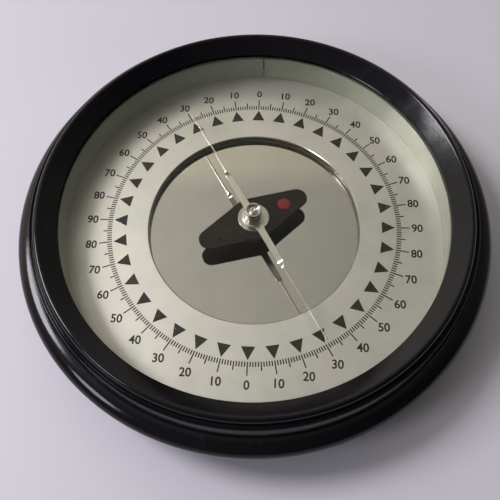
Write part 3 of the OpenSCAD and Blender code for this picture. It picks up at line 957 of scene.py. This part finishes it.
# %% Hub and disc
HUB_Z = POINTER_Z + STRIP_T / 2
HUB_TOP = top("hub")
FOOT_RING_R = 3.2
HEAD_R = 2.55
WAIST_R = 2.1
HUB_BORE_R = 1.5
BOSS_TOP_R = 0.95
DISH = 0.5
HUB_STEP = 0.5
BOSS_DOWN = 0.1
DIMPLE_R, DIMPLE = 0.5, 0.25
ring_r = (WAIST_R + FOOT_RING_R) / 2
head_z = HUB_Z + (HUB_TOP - HUB_Z) * 0.5
cup_top = top("jewel_cup")
hub_corners = [(TAIL_R, low("hub"), 0.05), (TAIL_R, HUB_Z, 0), (FOOT_RING_R, HUB_Z, 0.06),
               (FOOT_RING_R, HUB_Z + HUB_STEP, 0.16), (ring_r, HUB_Z + HUB_STEP, 0.04),
               (ring_r, HUB_Z + 2 * HUB_STEP, 0.16), (WAIST_R, HUB_Z + 2 * HUB_STEP, 0.05),
               (WAIST_R, head_z, 0.05), (HEAD_R, head_z, 0.14), (HEAD_R, HUB_TOP, 0.22),
               (HEAD_R - 0.5, HUB_TOP, 0.1), (BOSS_TOP_R + 0.3, HUB_TOP - DISH, 0.08),
               (BOSS_TOP_R + 0.1, HUB_TOP - DISH, 0.06), (BOSS_TOP_R, HUB_TOP - BOSS_DOWN, 0.1),
               (DIMPLE_R, HUB_TOP - BOSS_DOWN, 0.06), (0, HUB_TOP - BOSS_DOWN - DIMPLE, 0),
               (0, cup_top, 0), (HUB_BORE_R, cup_top, 0), (HUB_BORE_R, low("hub"), 0)]
hub = lathe("turned_hub", rounded(hub_corners, 4), NICKEL_FINISH, 96)
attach(hub, "needle")
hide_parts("hub")

disc_r = radius("hub_disc")
disc_corners = [(TAIL_R, low("hub_disc"), 0), (disc_r, low("hub_disc"), 0.12),
                (disc_r, top("hub_disc"), 0.15), (TAIL_R, top("hub_disc"), 0)]
disc = lathe("turned_disc", rounded(disc_corners, 4), NICKEL_FINISH, 96)
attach(disc, "needle")
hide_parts("hub_disc")
print("hub and disc turned")

# %% [markdown]
# ## Ribs and bosses under the case
# The closed pocket under the case has ribs that stop the floor warping, and tubes that
# take the base screws. One tree makes both: boxes along the radius, and tubes swept from
# a circle.

# %% Ribs and bosses
rib_tree, given = start_tree("ribs_and_bosses", {
    "Ribs": "NodeSocketInt", "Rib Radius": LENGTH, "Rib Size": "NodeSocketVector", "Rib Height": LENGTH,
    "Bosses": "NodeSocketInt", "Boss Start": LENGTH, "Boss Radius": LENGTH, "Boss Middle": LENGTH,
    "Boss Wall": LENGTH, "Boss Depth": LENGTH, "Finish": "NodeSocketMaterial"})
spots, facing = ring_points(rib_tree, given["Ribs"], 0.0, given["Rib Radius"], given["Rib Height"])
bar = add(rib_tree, "GeometryNodeMeshCube", None, {"Size": given["Rib Size"]})
rib_set = add(rib_tree, "GeometryNodeInstanceOnPoints", None, {
    "Points": spots, "Instance": bar.outputs[0], "Rotation": facing})
spots, facing = ring_points(rib_tree, given["Bosses"], given["Boss Start"], given["Boss Radius"],
                               given["Rib Height"])
loop = add(rib_tree, "GeometryNodeCurvePrimitiveCircle", None, {
    "Resolution": 40, "Radius": given["Boss Middle"]})
wall = add(rib_tree, "GeometryNodeCurvePrimitiveQuadrilateral", None, {
    "Width": given["Boss Wall"], "Height": given["Boss Depth"]})
tube = add(rib_tree, "GeometryNodeCurveToMesh", None, {0: loop.outputs[0], 1: wall.outputs[0]})
boss_set = add(rib_tree, "GeometryNodeInstanceOnPoints", None, {
    "Points": spots, "Instance": tube.outputs[0], "Rotation": facing})
both_sets = add(rib_tree, "GeometryNodeJoinGeometry")
rib_tree.links.new(rib_set.outputs[0], both_sets.inputs[0])
rib_tree.links.new(boss_set.outputs[0], both_sets.inputs[0])
finish_tree(rib_tree, both_sets.outputs[0], given["Finish"])

BOSS_R, SCREW_R, SCREW_START = 3.6, 1.25, 20
pocket_mid = (POCKET_IN + POCKET_OUT) / 2
pocket_deep = POCKET_TOP - PLATE_TOP
ribs = grow("ribs_and_bosses", rib_tree, {
    "Ribs": 9, "Rib Radius": pocket_mid * MM, "Rib Height": (PLATE_TOP + pocket_deep / 2) * MM,
    "Rib Size": ((POCKET_OUT - POCKET_IN + 0.2) * MM, 1.6 * MM, pocket_deep * MM),
    "Bosses": 3, "Boss Start": math.radians(SCREW_START), "Boss Radius": pocket_mid * MM,
    "Boss Middle": (BOSS_R + SCREW_R) / 2 * MM, "Boss Wall": (BOSS_R - SCREW_R) * MM,
    "Boss Depth": pocket_deep * MM, "Finish": CASE_BLACK})
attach(ribs, "case")

# %% [markdown]
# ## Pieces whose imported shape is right
# The post, the nut, the screws and the other small pieces are already the shapes they
# should be, so each only gets its finish.

# %% Finishes for the carried pieces
CARRIED = {
    "base_plate": FIBRE, "base_screws": BRASS, "glass_gasket": RUBBER, "dial_dowels": BRASS,
    "dial_shim": FIBRE, "mirror_felt": FELT, "pivot_post": BRASS, "pivot_washer": BRASS,
    "pivot_nut": BRASS, "pivot_pin": STEEL, "jewel_cup": BRASS, "jewel": AGATE, "hub_collar": NICKEL_FINISH}
for node, finish in CARRIED.items():
    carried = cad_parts[node]
    if not carried.material_slots:
        carried.data.materials.append(None)
    for material_slot in carried.material_slots:
        material_slot.material = finish
print(len(CARRIED), "carried pieces")

# %% [markdown]
# ## The table
# The object stands on a pale painted table, which is only a stage. A little cloudiness
# keeps it from looking like a flat card.

# %% Table
def painted_table():
    finish, tree, shader, place = start_finish("painted_table", IOR=1.45)
    clouds = noise(tree, place, 60, 3)
    tree.links.new(blend_colours(tree, clouds, "#cbc8d2", "#d3d0da"), shader.inputs["Base Color"])
    tree.links.new(spread(tree, clouds, 0.3, 0.7, 0.5, 0.6), shader.inputs["Roughness"])
    relief(tree, shader, noise(tree, place, 1.5, 3), 0.02)
    return finish


TABLE_HALF = 2.0
# A hair below the foot, so that no two faces lie in one plane
TABLE_DROP = 0.02
top_sheet = bmesh.new()
bmesh.ops.create_grid(top_sheet, x_segments=2, y_segments=2, size=TABLE_HALF,
                      matrix=Matrix.Translation((0, 0, -TABLE_DROP * MM)))
table = keep("table", top_sheet, painted_table())
print("table", TABLE_HALF * 2, "m")

# %% [markdown]
# ## Light
# A large soft lamp hangs high on the left, so the left wall throws a narrow shadow on the
# dial and the table darkens a little towards the right. A weak one at the left front draws
# the highlight on the shoulder. The room is a warm grey that gets lighter towards the back
# and the left, as below a ceiling; the mirror and the metals show it.

# %% Lamps and room
def soft_lamp(name, place, size, watts, colour):
    lamp = bpy.data.lights.new(name, "AREA")
    lamp.shape = "DISK"
    lamp.size = size
    lamp.energy = watts
    lamp.color = linear(colour)[:3]
    holder = bpy.data.objects.new(name, lamp)
    holder.location = place
    holder.rotation_euler = Vector(place).to_track_quat("Z", "Y").to_euler()
    bpy.context.scene.collection.objects.link(holder)
    return holder


soft_lamp("key_lamp", (-0.62, 0.14, 0.7), 0.34, 5.8, "#fdfaff")
soft_lamp("front_lamp", (-0.5, -0.3, 0.45), 0.2, 1.1, "#f4f2ff")

room = bpy.data.worlds.new("room")
bpy.context.scene.world = room
room.use_nodes = True
room_tree = room.node_tree
ray = add(room_tree, "ShaderNodeTexCoord").outputs["Generated"]
axes = add(room_tree, "ShaderNodeSeparateXYZ", None, {0: ray}).outputs
slope = sum_up(room_tree, "DIVIDE", axes["Y"], sum_up(room_tree, "MAXIMUM", axes["Z"], 0.05))
tilted = sum_up(room_tree, "ADD", slope, sum_up(room_tree, "MULTIPLY", axes["X"], -0.08))
ceiling = spread(room_tree, tilted, 0.61, 0.66, 0.0, 1.0)
back_colour = blend_colours(room_tree, ceiling, "#e4e2dc", "#fffbea")
from_left = spread(room_tree, axes["X"], -0.4, 0.5, 1.0, 0.26)
from_back = spread(room_tree, axes["Y"], -0.3, 0.3, 0.2, 1.0)
background = room_tree.nodes["Background"]
room_tree.links.new(back_colour, background.inputs["Color"])
room_tree.links.new(sum_up(room_tree, "MULTIPLY", from_left, from_back), background.inputs["Strength"])
print("lamps and room set")

# %% [markdown]
# ## Camera
# The camera looks down from the front at about sixty-four degrees, close enough that the
# far side looks smaller than the near one.

# %% Camera
AIM = Vector((-0.8, -9.1, DIAL_TOP)) * MM
CAMERA_TURN = Euler((math.radians(26), math.radians(1.13), math.radians(2.44)))
CAMERA_FAR = 201.5 * MM
eye_data = bpy.data.cameras.new("camera")
eye_data.lens = 46.5
eye_data.sensor_width = 36.0
eye_data.clip_start = 0.01
camera = bpy.data.objects.new("camera", eye_data)
camera.rotation_euler = CAMERA_TURN
camera.location = AIM + CAMERA_TURN.to_matrix() @ Vector((0, 0, CAMERA_FAR))
bpy.context.scene.collection.objects.link(camera)
bpy.context.scene.camera = camera
bpy.context.scene.view_settings.view_transform = "Standard"
print("camera at", [round(c, 3) for c in camera.location])
